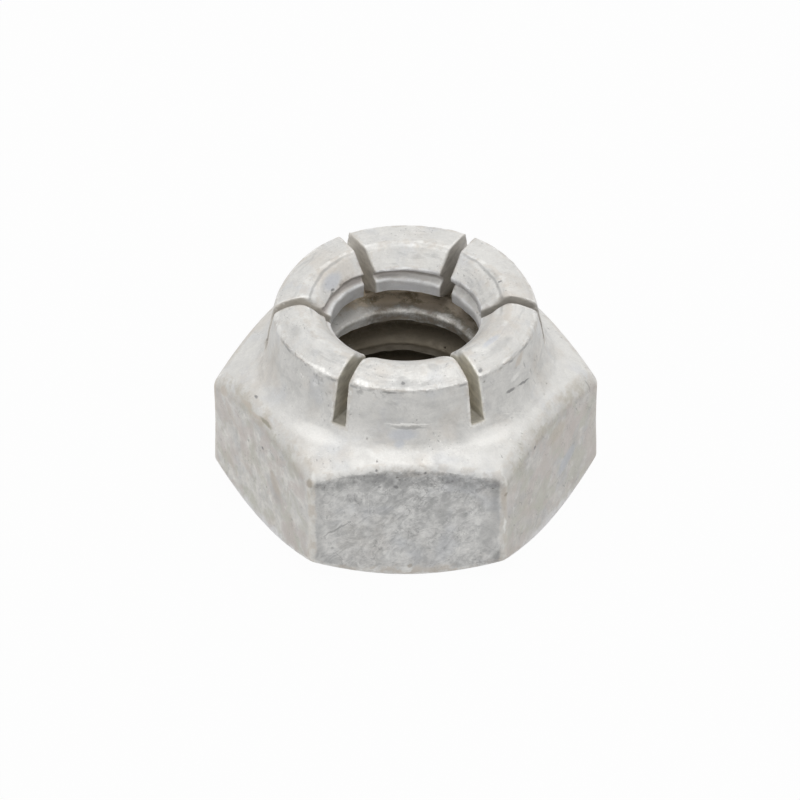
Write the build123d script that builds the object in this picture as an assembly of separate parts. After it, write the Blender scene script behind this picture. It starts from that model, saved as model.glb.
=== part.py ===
from build123d import *
import os
from math import cos, hypot, radians, sin, tan

# A flex lock nut, made as one piece of steel: a hexagon body, a conical shoulder and a collar
# that six saw slots divide into segments. The segments are bent in a little, so that they grip
# the bolt, which the crown and the slots show. Millimetres, +Z up, with the origin on the axis
# at the bearing face. A flat of the hexagon faces -Y, and the slots line up with its corners.

# Hexagon body
ACROSS_FLATS = 11.11
CORNER_HEIGHT = 4.04
UPRIGHT_EDGE_ROUND = 0.25
TOP_EDGE_ROUND = 0.2
BOTTOM_EDGE_ROUND = 0.1
SHOULDER_ANGLE = 30
BEARING_FACE_DIAMETER = 10.78
BEARING_CHAMFER_ANGLE = 33

# Collar
CROWN_HEIGHT = 7.25  # at the outer corner of the crown, before that is rounded
COLLAR_ROOT_DIAMETER = 9.36
COLLAR_TAPER_ANGLE = 10
COLLAR_ROOT_FILLET = 0.5
CROWN_ROUND = 0.5

# Slots and the bend of the segments between them
SLOT_COUNT = 6
SLOT_WIDTH = 0.48
SLOT_FLOOR_HEIGHT = 5.03
SEGMENT_LEAN_ANGLE = 3

# Hole with a right-hand 1/4-20 unified coarse thread
THREAD_PITCH = 1.27
THREAD_MINOR_DIAMETER = 5.14
THREAD_MAJOR_DIAMETER = 6.5
THREAD_HALF_ANGLE = 30
THREAD_ROOT_SHARE = 1 / 8  # the width of the groove's floor, as a share of the pitch
GROOVE_HEIGHT_AT_CORNER = 1.07  # where the middle of the groove's first turn passes +X
GROOVE_OVERLAP = 0.1  # how far the groove's cutting shape reaches inside the crests
TOP_COUNTERSINK_DIAMETER = 6.3
BOTTOM_COUNTERSINK_DIAMETER = 6.75
COUNTERSINK_HALF_ANGLE = 45

HEX_SIDES = 6
FLANK_STEPS = 6
SPARE = 1.0  # how far a cutting shape reaches past what it cuts

shoulder_slope = tan(radians(SHOULDER_ANGLE))
lean_slope = tan(radians(SEGMENT_LEAN_ANGLE))


def turned_blank():
    """The nut without its flats, slots and hole: everything that a lathe would cut outside."""
    corner_radius = ACROSS_FLATS / 2 / cos(radians(180 / HEX_SIDES))
    rim_radius = corner_radius + SPARE
    bearing_radius = BEARING_FACE_DIAMETER / 2
    root_radius = COLLAR_ROOT_DIAMETER / 2
    chamfer_slope = tan(radians(BEARING_CHAMFER_ANGLE))
    root_height = CORNER_HEIGHT + (corner_radius - root_radius) * shoulder_slope
    taper = (CROWN_HEIGHT - root_height) * tan(radians(COLLAR_TAPER_ANGLE))
    crown_radius = root_radius - taper
    outline = FilletPolyline(
        (0, 0),
        (bearing_radius, 0),
        (rim_radius, (rim_radius - bearing_radius) * chamfer_slope),
        (rim_radius, CORNER_HEIGHT - SPARE * shoulder_slope),
        (root_radius, root_height),
        (crown_radius, CROWN_HEIGHT),
        (0, CROWN_HEIGHT - crown_radius * lean_slope),
        radius=[0, 0, 0, 0, COLLAR_ROOT_FILLET, CROWN_ROUND, 0],
        close=True,
    )
    return revolve(Plane.XZ * make_face(outline), Axis.Z)


def hexagon():
    """The upright prism of the six flats, with its corners rounded."""
    flats = RegularPolygon(ACROSS_FLATS / 2, HEX_SIDES, major_radius=False, rotation=0)
    flats = fillet(flats.vertices(), UPRIGHT_EDGE_ROUND)
    return extrude(flats, CROWN_HEIGHT)


def bore():
    """The bore at the thread's crests. Its seam is turned away from the groove's own."""
    start = Location((0, 0, -SPARE), (0, 0, 180))
    return start * extrude(Circle(THREAD_MINOR_DIAMETER / 2), CROWN_HEIGHT + 2 * SPARE)


def thread_groove():
    """The right-hand groove: a level section of it, twisted by one turn in each pitch."""
    major_radius = THREAD_MAJOR_DIAMETER / 2
    inner_radius = THREAD_MINOR_DIAMETER / 2 - GROOVE_OVERLAP
    flank_rise = (major_radius - inner_radius) * tan(radians(THREAD_HALF_ANGLE))
    root_half_turn = 360 * THREAD_ROOT_SHARE / 2
    inner_half_turn = root_half_turn + 360 * flank_rise / THREAD_PITCH
    flanks = []
    for side in (1, -1):
        points = []
        for step in range(FLANK_STEPS + 1):
            share = step / FLANK_STEPS
            radius = major_radius + (inner_radius - major_radius) * share
            turn = root_half_turn + (inner_half_turn - root_half_turn) * share
            points.append(Vector(radius, 0).rotate(Axis.Z, side * turn))
        flanks.append(Spline(*points))
    root = ThreePointArc(flanks[1] @ 0, (major_radius, 0), flanks[0] @ 0)
    inside = ThreePointArc(flanks[0] @ 1, (-inner_radius, 0), flanks[1] @ 1)
    length = CROWN_HEIGHT + 2 * SPARE
    start_turn = 360 * (-SPARE - GROOVE_HEIGHT_AT_CORNER) / THREAD_PITCH
    start = Location((0, 0, -SPARE), (0, 0, start_turn))
    section = start * make_face([root, flanks[0], inside, flanks[1]])
    return Solid.extrude_linear_with_rotation(
        section.face(), start.position, (0, 0, length), 360 * length / THREAD_PITCH
    )


def countersink(diameter, height, half_angle, outward):
    """The cone that opens the hole at one end, from inside the bore to past the end."""
    slope = tan(radians(half_angle))
    inner_radius = THREAD_MINOR_DIAMETER / 2 - SPARE
    depth = (diameter / 2 - inner_radius) / slope
    outline = Polyline(
        (0, height - outward * depth),
        (inner_radius, height - outward * depth),
        (diameter / 2 + SPARE * slope, height + outward * SPARE),
        (0, height + outward * SPARE),
        close=True,
    )
    return revolve(Plane.XZ * make_face(outline), Axis.Z)


def slot():
    """One saw slot towards +X, narrower at the top, where the bend has closed it."""
    height = CROWN_HEIGHT + SPARE - SLOT_FLOOR_HEIGHT
    closing = 2 * sin(radians(180 / SLOT_COUNT)) * lean_slope * height
    section = Polyline(
        (-SLOT_WIDTH / 2, SLOT_FLOOR_HEIGHT),
        (SLOT_WIDTH / 2, SLOT_FLOOR_HEIGHT),
        ((SLOT_WIDTH - closing) / 2, SLOT_FLOOR_HEIGHT + height),
        (-(SLOT_WIDTH - closing) / 2, SLOT_FLOOR_HEIGHT + height),
        close=True,
    )
    return extrude(Plane.YZ * make_face(section), COLLAR_ROOT_DIAMETER / 2 + SPARE)


def is_rim(edge):
    """Whether an edge lies where the shoulder or the bearing chamfer meets the flats."""
    middle = edge @ 0.5
    outside_collar = hypot(middle.X, middle.Y) > (ACROSS_FLATS + COLLAR_ROOT_DIAMETER) / 4
    return outside_collar and edge.geom_type != GeomType.LINE and middle.Z > 0


def rounded_body():
    """The blank with its six flats, and the rims of the flats rounded."""
    body = turned_blank() & hexagon()
    middle_height = CORNER_HEIGHT / 2
    rims = body.edges().filter_by(is_rim)
    body = fillet(rims.filter_by(lambda edge: (edge @ 0.5).Z > middle_height), TOP_EDGE_ROUND)
    rims = body.edges().filter_by(is_rim)
    return fillet(rims.filter_by(lambda edge: (edge @ 0.5).Z < middle_height), BOTTOM_EDGE_ROUND)


def lock_nut():
    nut = rounded_body() - bore() - thread_groove()
    nut -= countersink(BOTTOM_COUNTERSINK_DIAMETER, 0, COUNTERSINK_HALF_ANGLE, -1)
    exit_angle = COUNTERSINK_HALF_ANGLE - SEGMENT_LEAN_ANGLE
    nut -= countersink(TOP_COUNTERSINK_DIAMETER, CROWN_HEIGHT, exit_angle, 1)
    for position in PolarLocations(0, SLOT_COUNT):
        nut -= position * slot()
    return nut


os.makedirs("parts", exist_ok=True)
export_step(lock_nut(), "parts/lock_nut.step")
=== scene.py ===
"""A flex lock nut of plated steel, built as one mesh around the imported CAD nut.

The metal is described by a field that is negative inside it, from the same sizes as the CAD
source, with a real thread, rounded and burred edges, and small unevenness. The field is meshed
with one point in each cell that the surface passes. Lengths are in millimetres until the mesh
is made, with +Z up and the origin on the axis at the bearing face.
"""

import math
from types import SimpleNamespace

import bpy
import numpy as np
from mathutils import Euler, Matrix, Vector

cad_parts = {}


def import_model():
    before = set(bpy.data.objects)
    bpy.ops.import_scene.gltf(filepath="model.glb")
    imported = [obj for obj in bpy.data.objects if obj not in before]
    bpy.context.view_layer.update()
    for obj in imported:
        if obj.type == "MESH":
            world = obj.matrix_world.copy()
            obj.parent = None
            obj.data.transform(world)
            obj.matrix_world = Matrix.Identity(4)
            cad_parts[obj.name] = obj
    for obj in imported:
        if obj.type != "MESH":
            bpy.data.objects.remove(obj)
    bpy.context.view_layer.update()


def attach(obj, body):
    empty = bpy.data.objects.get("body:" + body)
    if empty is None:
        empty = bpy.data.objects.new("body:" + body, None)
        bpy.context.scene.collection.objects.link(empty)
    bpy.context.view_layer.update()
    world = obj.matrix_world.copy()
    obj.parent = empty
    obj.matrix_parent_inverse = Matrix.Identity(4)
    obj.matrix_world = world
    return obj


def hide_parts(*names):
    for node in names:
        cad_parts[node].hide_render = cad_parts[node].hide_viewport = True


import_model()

MM = 0.001
FULL_TURN = 2 * math.pi
SECTOR = FULL_TURN / 6

# Hexagon body
ACROSS_FLATS = 11.11
CORNER_RADIUS = ACROSS_FLATS / 2 / math.cos(SECTOR / 2)
CORNER_HEIGHT = 4.04
CORNER_ROUND = 0.27
FLAT_INSET = 0.014  # keeps the uneven flats inside the CAD nut
WAIST_DEPTH = 0.035  # how far the upright corners are drawn in at half their height
WAIST_HEIGHT = 2.3
WAIST_REACH = 1.1
WAIST_RADII = (5.9, 6.4)
RIM_ROUND = 0.17  # on the front flat
SIDE_RIM_ROUND = 0.36  # on the others
BOTTOM_ROUND = 0.12
SHOULDER_ANGLE = math.radians(30)
BEARING_FACE_RADIUS = 5.39
BEARING_CHAMFER_ANGLE = math.radians(33)
BEARING_EDGE_ROUND = 0.05

# Collar
CROWN_HEIGHT = 7.215
CROWN_INSET = 0.015
CROWN_DOME_START = 3.3  # the radius outside which the crown falls
CROWN_DOME = 0.34
CROWN_DOME_AT_BACK = 0.06
CROWN_ROUND = 0.07
COLLAR_ROOT_RADIUS = 4.634
COLLAR_ROOT_HEIGHT = 5.04
COLLAR_STUB = 0.3  # how far below its root the collar's curve goes on
COLLAR_SLOPE = 0.078
COLLAR_CURVE = 0.0515
COLLAR_WALL_COSINE = 0.985  # of the wall's mean slope
COLLAR_FILLET = 0.42

# The ridge of pressed-out plating on the lip of the crown
LIP_DROP = 0.03  # below the edge of the dome
LIP_OUTSET = 0.005
LIP_RIDGE = 0.045
LIP_RIDGE_SUNK = 0.03
LIP_FEATURE = 0.3
LIP_FILLET = 0.04
FLAKE_FILLET = 0.05
# Flakes on that ridge: place and radius
FLAKES = (
    ((-1.72, -3.9, 6.87), 0.08),
    ((-1.46, -4.02, 6.85), 0.09),
    ((-1.18, -4.12, 6.86), 0.06),
    ((-2.6, -3.41, 6.85), 0.08),
    ((-2.84, -3.22, 6.86), 0.08),
    ((2.27, -3.61, 6.87), 0.07),
)

# Slots and the bend of the segments between them
SLOT_FLOORS = (4.97, 5.22, 5.22, 4.97, 4.97, 4.97)  # at the axis, counted from +X
SLOT_FLOOR_RISES = (0.024, 0.0, 0.0, 0.018, 0.014, 0.014)  # times the distance along squared
SLOT_HALF_WIDTH = 0.24
SLOT_SHIFTS = (0.07, -0.09, -0.12, -0.05, 0.1, 0.0)  # across each slot, counted from +X
SLOT_INNER_END = 0.5  # well inside the hole
LEAN_START = 5.03
LEAN_SLOPE = math.tan(math.radians(3))
SLOT_EDGE_ROUND = 0.035

# Thread, 1/4-20 unified coarse, and the cones at its two ends
PITCH = 1.27
ROOT_HALF_WIDTH = PITCH / 16
MINOR_RADIUS = 2.57
MAJOR_RADIUS = 3.25
MAJOR_RADIUS_AT_TOP = 2.8
FLANK_ANGLE = math.radians(30)
THREAD_START = 1.07  # where the middle of the groove's first turn passes +X
THREAD_ROUND = 0.05
THREAD_ROOT_ROUND = 0.06
THREAD_FADE = (5.7, 6.3)  # the heights between which the groove grows shallow
THREAD_FADE_LIFT = 0.12
TOP_CONE_RADIUS = 3.16
TOP_CONE_ANGLE = math.radians(47)
TOP_CONE_EDGE = 0.05
TOP_CONE_WEAR = 0.22  # more round than that, where the cone meets the crown in front
WEAR_HEIGHTS = (6.5, 6.9)
BACK_WEAR_LOSS = 0.75
BOTTOM_CONE_RADIUS = 3.375
BOTTOM_CONE_EDGE = 0.05

# How deep the unevenness of each surface is: the broad and the small part
FLAT_UNEVENNESS = (0.008, 0.006)
SHOULDER_UNEVENNESS = (0.02, 0.005)
CHAMFER_UNEVENNESS = 0.01
WALL_UNEVENNESS = (0.01, 0.003)
CROWN_UNEVENNESS = (0.015, 0.010)
THREAD_UNEVENNESS = (0.03, 0.016)

# The front or the back begins between these sines of the angle round the axis
FRONT_FLAT = (0.84, 0.9)
FRONT_SEGMENTS = (0.2, 0.6)
BACK_SEGMENTS = (0.3, 0.8)

FLATTENING = 0.03  # how strongly a mesh point is held near the middle of its crossings


def lattice(seed, size=64):
    """A block of seeded random values from -1 to 1, which the noise repeats in all directions."""
    return np.random.default_rng(seed).uniform(-1, 1, (size, size, size)).astype(np.float32)


LATTICE = lattice(11)


def noise(x, y, z, feature, shift=0.0):
    """Smooth noise from -1 to 1, whose bumps are about one feature wide."""
    size = LATTICE.shape[0]
    parts = []
    for k, c in enumerate((x, y, z)):
        c = c / feature + shift + 7.3 * k
        low = np.floor(c)
        t = c - low
        i = low.astype(np.int32) % size
        parts.append((i, (i + 1) % size, t * t * (3 - 2 * t)))
    (x0, x1, u), (y0, y1, v), (z0, z1, w) = parts
    near = LATTICE[x0, y0, z0] * (1 - u) + LATTICE[x1, y0, z0] * u
    far = LATTICE[x0, y1, z0] * (1 - u) + LATTICE[x1, y1, z0] * u
    low = near * (1 - v) + far * v
    near = LATTICE[x0, y0, z1] * (1 - u) + LATTICE[x1, y0, z1] * u
    far = LATTICE[x0, y1, z1] * (1 - u) + LATTICE[x1, y1, z1] * u
    high = near * (1 - v) + far * v
    return low * (1 - w) + high * w


def cut_round(a, b, radius):
    """What is in both shapes, with the edge between them rounded."""
    corner = np.hypot(np.maximum(a + radius, 0), np.maximum(b + radius, 0))
    return np.minimum(-radius, np.maximum(a, b)) + corner


def join_round(a, b, radius):
    """What is in either shape, with a fillet in the corner between them."""
    corner = np.hypot(np.maximum(radius - a, 0), np.maximum(radius - b, 0))
    return np.maximum(radius, np.minimum(a, b)) - corner


def hexagon(x, y, rounding):
    """The six upright flats. One faces -Y."""
    radius, angle = np.hypot(x, y), np.arctan2(y, x) - SECTOR / 2
    angle -= SECTOR * np.round(angle / SECTOR)
    out = radius * np.cos(angle) - (ACROSS_FLATS / 2 - rounding)
    along = np.abs(radius * np.sin(angle)) - (ACROSS_FLATS / 2 - rounding) * math.tan(SECTOR / 2)
    return np.where(along > 0, np.hypot(out, along), out) - rounding


def smooth(value, low, high):
    """From 0 below low to 1 above high, without a kink."""
    share = np.clip((value - low) / (high - low), 0, 1)
    return share * share * (3 - 2 * share)


def shoulder_height(radius):
    """How high the cone of the shoulder lies."""
    return CORNER_HEIGHT + (CORNER_RADIUS - radius) * math.tan(SHOULDER_ANGLE)


def body(x, y, z, radius):
    """The hexagon under its conical shoulder, on its chamfered bearing face."""
    broad = noise(x, y, z, 2.6)
    small = noise(x, y, z, 0.55, 31.0)
    waist = WAIST_DEPTH * smooth(radius, *WAIST_RADII)
    waist = waist * np.exp(-(((z - WAIST_HEIGHT) / WAIST_REACH) ** 2))
    flats = hexagon(x, y, CORNER_ROUND) + FLAT_INSET + waist
    flats = flats + FLAT_UNEVENNESS[0] * broad + FLAT_UNEVENNESS[1] * small
    shoulder = (z - shoulder_height(radius)) * math.cos(SHOULDER_ANGLE)
    shoulder = shoulder + SHOULDER_UNEVENNESS[0] * broad - SHOULDER_UNEVENNESS[1] * small
    front = smooth(-y / radius, *FRONT_FLAT)
    sides = cut_round(flats, shoulder, SIDE_RIM_ROUND + (RIM_ROUND - SIDE_RIM_ROUND) * front)
    chamfer = (radius - BEARING_FACE_RADIUS) * math.tan(BEARING_CHAMFER_ANGLE) - z
    chamfer = chamfer * math.cos(BEARING_CHAMFER_ANGLE) + CHAMFER_UNEVENNESS * broad
    base = cut_round(chamfer, -z, BEARING_EDGE_ROUND)
    return cut_round(sides, base, BOTTOM_ROUND)


def slot_place(angle, radius):
    """Which slot is nearest, and how far along it and across it a point is."""
    index = np.round(angle / SECTOR)
    folded = angle - SECTOR * index
    return index, radius * np.cos(folded), radius * np.sin(folded)


def collar(x, y, z, radius, angle):
    """The collar before its slots and its hole. Its crown is domed, but hardly at the back."""
    height = np.maximum(z - COLLAR_ROOT_HEIGHT, -COLLAR_STUB)
    wall = COLLAR_ROOT_RADIUS - COLLAR_SLOPE * height - COLLAR_CURVE * height * np.abs(height)
    broad = noise(x, y, z, 1.7, 5.0)
    small = noise(x, y, z, 0.28, 9.0)
    side = (radius - wall) * COLLAR_WALL_COSINE
    side = side + WALL_UNEVENNESS[0] * broad + WALL_UNEVENNESS[1] * small
    back = smooth(np.sin(angle), *BACK_SEGMENTS)
    dome = CROWN_DOME + (CROWN_DOME_AT_BACK - CROWN_DOME) * back
    drop = dome * np.maximum(radius - CROWN_DOME_START, 0) ** 2
    top = z - CROWN_HEIGHT + drop + CROWN_INSET
    top = top + CROWN_UNEVENNESS[0] * broad + CROWN_UNEVENNESS[1] * small
    whole = cut_round(side, top, CROWN_ROUND)
    lip_height = CROWN_HEIGHT - dome - LIP_DROP
    front = smooth(-np.sin(angle), *FRONT_SEGMENTS)
    ridge = LIP_RIDGE * front - LIP_RIDGE_SUNK + LIP_RIDGE * noise(x, y, z, LIP_FEATURE, 17.0)
    lip = np.hypot(radius - wall - LIP_OUTSET, z - lip_height) - ridge
    whole = join_round(whole, lip, LIP_FILLET)
    for place, size in FLAKES:
        flake = np.sqrt((x - place[0]) ** 2 + (y - place[1]) ** 2 + (z - place[2]) ** 2) - size
        whole = join_round(whole, flake, FLAKE_FILLET)
    return np.maximum(whole, CORNER_HEIGHT / 2 - z)


def slot_bottom(along, index):
    """How high the floor of a slot lies. Some floors rise outwards."""
    index = index.astype(int) % 6
    rise = np.array(SLOT_FLOOR_RISES, np.float32)[index]
    return np.array(SLOT_FLOORS, np.float32)[index] + rise * along * along


def slots(along, across, z, index):
    """The six saw slots, a little narrower at the top, where the bend has closed them."""
    closing = math.sin(SECTOR / 2) * lean(z)
    across = across - np.array(SLOT_SHIFTS, np.float32)[index.astype(int) % 6]
    above = z - slot_bottom(along, index)
    inner = np.maximum(np.abs(across) - SLOT_HALF_WIDTH + closing, -above)
    return np.maximum(inner, SLOT_INNER_END - along)


def lean(z):
    """How far the bent segments lean in."""
    return LEAN_SLOPE * np.maximum(z - LEAN_START, 0)


def top_cone(radius, z):
    """The distance from the cone that opens the hole at the crown."""
    cone = (TOP_CONE_RADIUS - radius) + (z - CROWN_HEIGHT) * math.tan(TOP_CONE_ANGLE)
    return cone * math.cos(TOP_CONE_ANGLE)


def hole(x, y, z, radius, angle):
    """The threaded hole with the cones at its ends. It leans in between the segments, and the
    thread is shallow in its last turn."""
    rough = THREAD_UNEVENNESS[0] * noise(x, y, z, 0.8, 23.0)
    rough = rough + THREAD_UNEVENNESS[1] * noise(x, y, z, 0.25, 27.0)
    reach = radius + lean(z) + rough
    fade = smooth(z, *THREAD_FADE)
    turn = (z + THREAD_FADE_LIFT * fade + rough - THREAD_START) / PITCH - angle / FULL_TURN
    offset = np.abs(turn - np.round(turn)) * PITCH
    major = MAJOR_RADIUS + (MAJOR_RADIUS_AT_TOP - MAJOR_RADIUS) * fade
    half_width = ROOT_HALF_WIDTH + (major - reach) * math.tan(FLANK_ANGLE)
    flank = (offset - half_width) * math.cos(FLANK_ANGLE)
    groove = cut_round(flank, reach - major, THREAD_ROOT_ROUND)
    metal = cut_round(MINOR_RADIUS - reach, -groove, THREAD_ROUND)
    metal = cut_round(metal, top_cone(radius, z), TOP_CONE_EDGE)
    bottom = (BOTTOM_CONE_RADIUS - radius - z) * math.sqrt(0.5)
    return cut_round(metal, bottom, BOTTOM_CONE_EDGE)


def nut(x, y, z):
    """The whole nut: negative inside the metal, and in millimetres near its surface."""
    radius, angle = np.hypot(x, y), np.arctan2(y, x)
    index, along, across = slot_place(angle, radius)
    metal = join_round(body(x, y, z, radius), collar(x, y, z, radius, angle), COLLAR_FILLET)
    metal = cut_round(metal, -slots(along, across, z, index), SLOT_EDGE_ROUND)
    back = smooth(np.sin(angle), *BACK_SEGMENTS)
    worn = TOP_CONE_WEAR * smooth(z, *WEAR_HEIGHTS) * (1 - BACK_WEAR_LOSS * back)
    return cut_round(metal, hole(x, y, z, radius, angle), TOP_CONE_EDGE + worn)


def field_values(field, axes):
    """The field at each point of the grid, one slab of it at a time."""
    y, z = np.meshgrid(axes[1], axes[2], indexing="ij")
    values = np.empty([len(a) for a in axes], np.float32)
    for i, x in enumerate(axes[0]):
        values[i] = field(np.full_like(y, x), y, z)
    return values


def crossings(field, values, axes, cell, direction):
    """Where the grid's edges along one direction pass the surface: their lower corners,
    the points, and whether the metal is at the lower end."""
    inside = values < 0
    low = [slice(None)] * 3
    high = [slice(None)] * 3
    low[direction], high[direction] = slice(None, -1), slice(1, None)
    corners = np.argwhere(inside[tuple(low)] != inside[tuple(high)])
    upper = corners.copy()
    upper[:, direction] += 1
    a, b = values[tuple(corners.T)], values[tuple(upper.T)]
    start = np.stack([axes[k][corners[:, k]] for k in range(3)], 1)
    lower_end, upper_end = np.zeros_like(a), np.ones_like(a)
    from_inside = a < 0
    for _ in range(3):
        share = np.clip(a / (a - b), 0.05, 0.95)
        share = lower_end + share * (upper_end - lower_end)
        point = start.copy()
        point[:, direction] += share * cell
        value = field(*point.T)
        keeps_low = (value < 0) == from_inside
        lower_end, a = np.where(keeps_low, share, lower_end), np.where(keeps_low, value, a)
        upper_end, b = np.where(keeps_low, upper_end, share), np.where(keeps_low, b, value)
    share = lower_end + (upper_end - lower_end) * a / (a - b)
    point = start.copy()
    point[:, direction] += share * cell
    return corners, point, from_inside


def gradient(field, points, step):
    """The field's direction of growth at each point, as a unit vector."""
    slope = np.empty_like(points)
    for k in range(3):
        shift = np.zeros(3, np.float32)
        shift[k] = step
        slope[:, k] = field(*(points + shift).T) - field(*(points - shift).T)
    return slope / np.maximum(np.linalg.norm(slope, axis=1), 1e-9)[:, None]


# The columns of plane_sums
COUNT, POINTS, SQUARES, TARGETS = 0, slice(1, 4), 4, slice(5, 8)
PRODUCTS = [8, 9, 10, 9, 11, 12, 10, 12, 13]  # of two normals, as a 3 by 3 matrix


def plane_sums(ids, count, points, normals):
    """For each cell, the sums over its crossings that say how well one point fits them."""
    reach = np.einsum("ij,ij->i", normals, points)
    columns = [np.ones(len(ids)), *points.T, reach * reach]
    columns += [normals[:, i] * reach for i in range(3)]
    columns += [normals[:, i] * normals[:, j] for i in range(3) for j in range(i, 3)]
    return np.stack([np.bincount(ids, c, count) for c in columns], 1)


def best_points(sums, low, high):
    """The point of each cell that lies best on all its planes, and its mean distance to them."""
    count = sums[:, COUNT]
    middle = sums[:, POINTS] / count[:, None]
    system = sums[:, PRODUCTS].reshape(-1, 3, 3)
    target = sums[:, TARGETS] - np.einsum("nij,nj->ni", system, middle)
    damped = system + np.eye(3) * (FLATTENING * count)[:, None, None]
    point = middle + np.linalg.solve(damped, target[:, :, None])[:, :, 0]
    point = np.clip(point, low, high)
    fit = np.einsum("ni,nij,nj->n", point, system, point)
    fit = fit - 2 * np.einsum("ni,ni->n", point, sums[:, TARGETS])
    return point, np.sqrt(np.maximum(fit + sums[:, SQUARES], 0) / count)


def merged(sums, cells, axes, cell, tolerance):
    """Joins blocks of 2, 4 and 8 cells a side, where one point fits them all well enough.
    Gives the points that are left, and the number of the point that each cell now has."""
    origin = np.array([a[0] for a in axes])
    low = origin + cells * cell
    points, _ = best_points(sums, low, low + cell)
    owner = np.arange(len(cells))
    blocks, whole = cells, np.ones(len(cells), bool)
    block_of_cell = np.arange(len(cells))
    for level in (1, 2, 3):
        side = cell * 2**level
        parents, parent = np.unique(blocks >> 1, axis=0, return_inverse=True)
        parent = parent.ravel()
        total = np.stack([np.bincount(parent, c, len(parents)) for c in sums.T], 1)
        broken = np.bincount(parent, ~whole, len(parents)) > 0
        low = origin + parents * side
        point, distance = best_points(total, low, low + side)
        whole = ~broken & (distance < tolerance)
        block_of_cell = parent[block_of_cell]
        joined = whole[block_of_cell]
        owner[joined] = len(points) + block_of_cell[joined]
        points = np.concatenate([points, point])
        blocks, sums = parents, total
    used, owner = np.unique(owner, return_inverse=True)
    return points[used], owner


def mesh_of(field, low, high, cell, tolerance):
    """The surface of the field as points and four-sided faces, wound outwards."""
    ends = [(low[k] - 1.5 * cell, high[k] + 2 * cell) for k in range(3)]
    axes = [np.arange(*pair, cell).astype(np.float32) for pair in ends]
    values = field_values(field, axes)
    size = np.array(values.shape)
    all_cells, all_points, all_normals = [], [], []
    for direction in range(3):
        corners, points, from_inside = crossings(field, values, axes, cell, direction)
        one, two = [(1, 2), (2, 0), (0, 1)][direction]
        around = []
        for back_one, back_two in ((0, 0), (1, 0), (1, 1), (0, 1)):
            place = corners.copy()
            place[:, one] -= back_one
            place[:, two] -= back_two
            around.append((place[:, 0] * size[1] + place[:, 1]) * size[2] + place[:, 2])
        around = np.stack(around, 1)
        around[~from_inside] = around[~from_inside][:, ::-1]
        all_cells.append(around)
        all_points.append(points)
        all_normals.append(gradient(field, points, np.float32(0.2 * cell)))
    used, ids = np.unique(np.concatenate(all_cells), return_inverse=True)
    ids = ids.ravel()
    cells = np.stack(np.unravel_index(used, size), 1)
    points = np.repeat(np.concatenate(all_points), 4, 0).astype(float)
    normals = np.repeat(np.concatenate(all_normals), 4, 0).astype(float)
    sums = plane_sums(ids, len(used), points, normals)
    points, owner = merged(sums, cells, axes, cell, tolerance)
    points[:, 2] = np.maximum(points[:, 2], 0)
    faces = owner.ravel()[ids].reshape(-1, 4)
    return points, faces


def mesh_object(name, points, faces):
    """A mesh of the faces that have at least three different points."""
    same_as_next = faces == np.roll(faces, -1, axis=1)
    corners = 4 - same_as_next.sum(1)
    crossed = (faces[:, 0] == faces[:, 2]) | (faces[:, 1] == faces[:, 3])
    kept = (corners > 2) & ~crossed
    faces, same_as_next, corners = faces[kept], same_as_next[kept], corners[kept]
    loops = faces[~same_as_next]
    mesh = bpy.data.meshes.new(name)
    mesh.vertices.add(len(points))
    mesh.vertices.foreach_set("co", (points * MM).astype(np.float32).ravel())
    mesh.loops.add(len(loops))
    mesh.loops.foreach_set("vertex_index", loops.astype(np.int32))
    mesh.polygons.add(len(faces))
    starts = np.concatenate([[0], np.cumsum(corners)[:-1]])
    mesh.polygons.foreach_set("loop_start", starts.astype(np.int32))
    mesh.polygons.foreach_set("use_smooth", np.ones(len(faces), bool))
    mesh.update(calc_edges=True)
    mesh.validate(verbose=False)
    piece = bpy.data.objects.new(name, mesh)
    bpy.context.scene.collection.objects.link(piece)
    return piece


PHOTO_PIXELS = 800
PIXELS_PER_WIDTH = 332.74  # how wide the nut's flats stand apart in the photograph
WIDTHS_AWAY = 30  # the camera's distance, in widths across the flats
CAMERA_ELEVATION = math.radians(38.2)
CAMERA_YAW = math.radians(-0.65)
CAMERA_AIM = (-0.189, 1.485, 1.887)
SENSOR = 36


def camera():
    """The photograph's view: a long lens, 38 degrees above the horizon."""
    data = bpy.data.cameras.new("camera")
    data.sensor_width = SENSOR
    data.lens = PIXELS_PER_WIDTH * WIDTHS_AWAY / PHOTO_PIXELS * SENSOR
    data.clip_start, data.clip_end = 0.01, 3
    eye = Vector((0, -math.cos(CAMERA_ELEVATION), math.sin(CAMERA_ELEVATION)))
    eye = eye * (WIDTHS_AWAY * ACROSS_FLATS)
    aim = Vector(CAMERA_AIM)
    direction = -eye.normalized()
    eye = eye + aim - direction * direction.dot(aim)
    turn = Euler((0, 0, CAMERA_YAW)).to_matrix()
    made = bpy.data.objects.new("camera", data)
    made.location = (turn @ eye) * MM
    made.rotation_euler = (turn @ direction).to_track_quat("-Z", "Y").to_euler()
    bpy.context.scene.collection.objects.link(made)
    bpy.context.scene.camera = made


def share_near(distance, width=0.04):
    """1 on a surface, and less and less away from it."""
    return np.exp(-np.abs(distance) / width)


def bend_of(field, x, y, z, step):
    """How sharply the surface turns: above 0 on edges and below 0 in hollows."""
    total = -6 * field(x, y, z)
    for move in np.eye(3, dtype=np.float32) * np.float32(step):
        total += field(x + move[0], y + move[1], z + move[2])
        total += field(x - move[0], y - move[1], z - move[2])
    return total / step**2


BEND_STEP = 0.09
SHARPEST_BEND = 8
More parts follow.
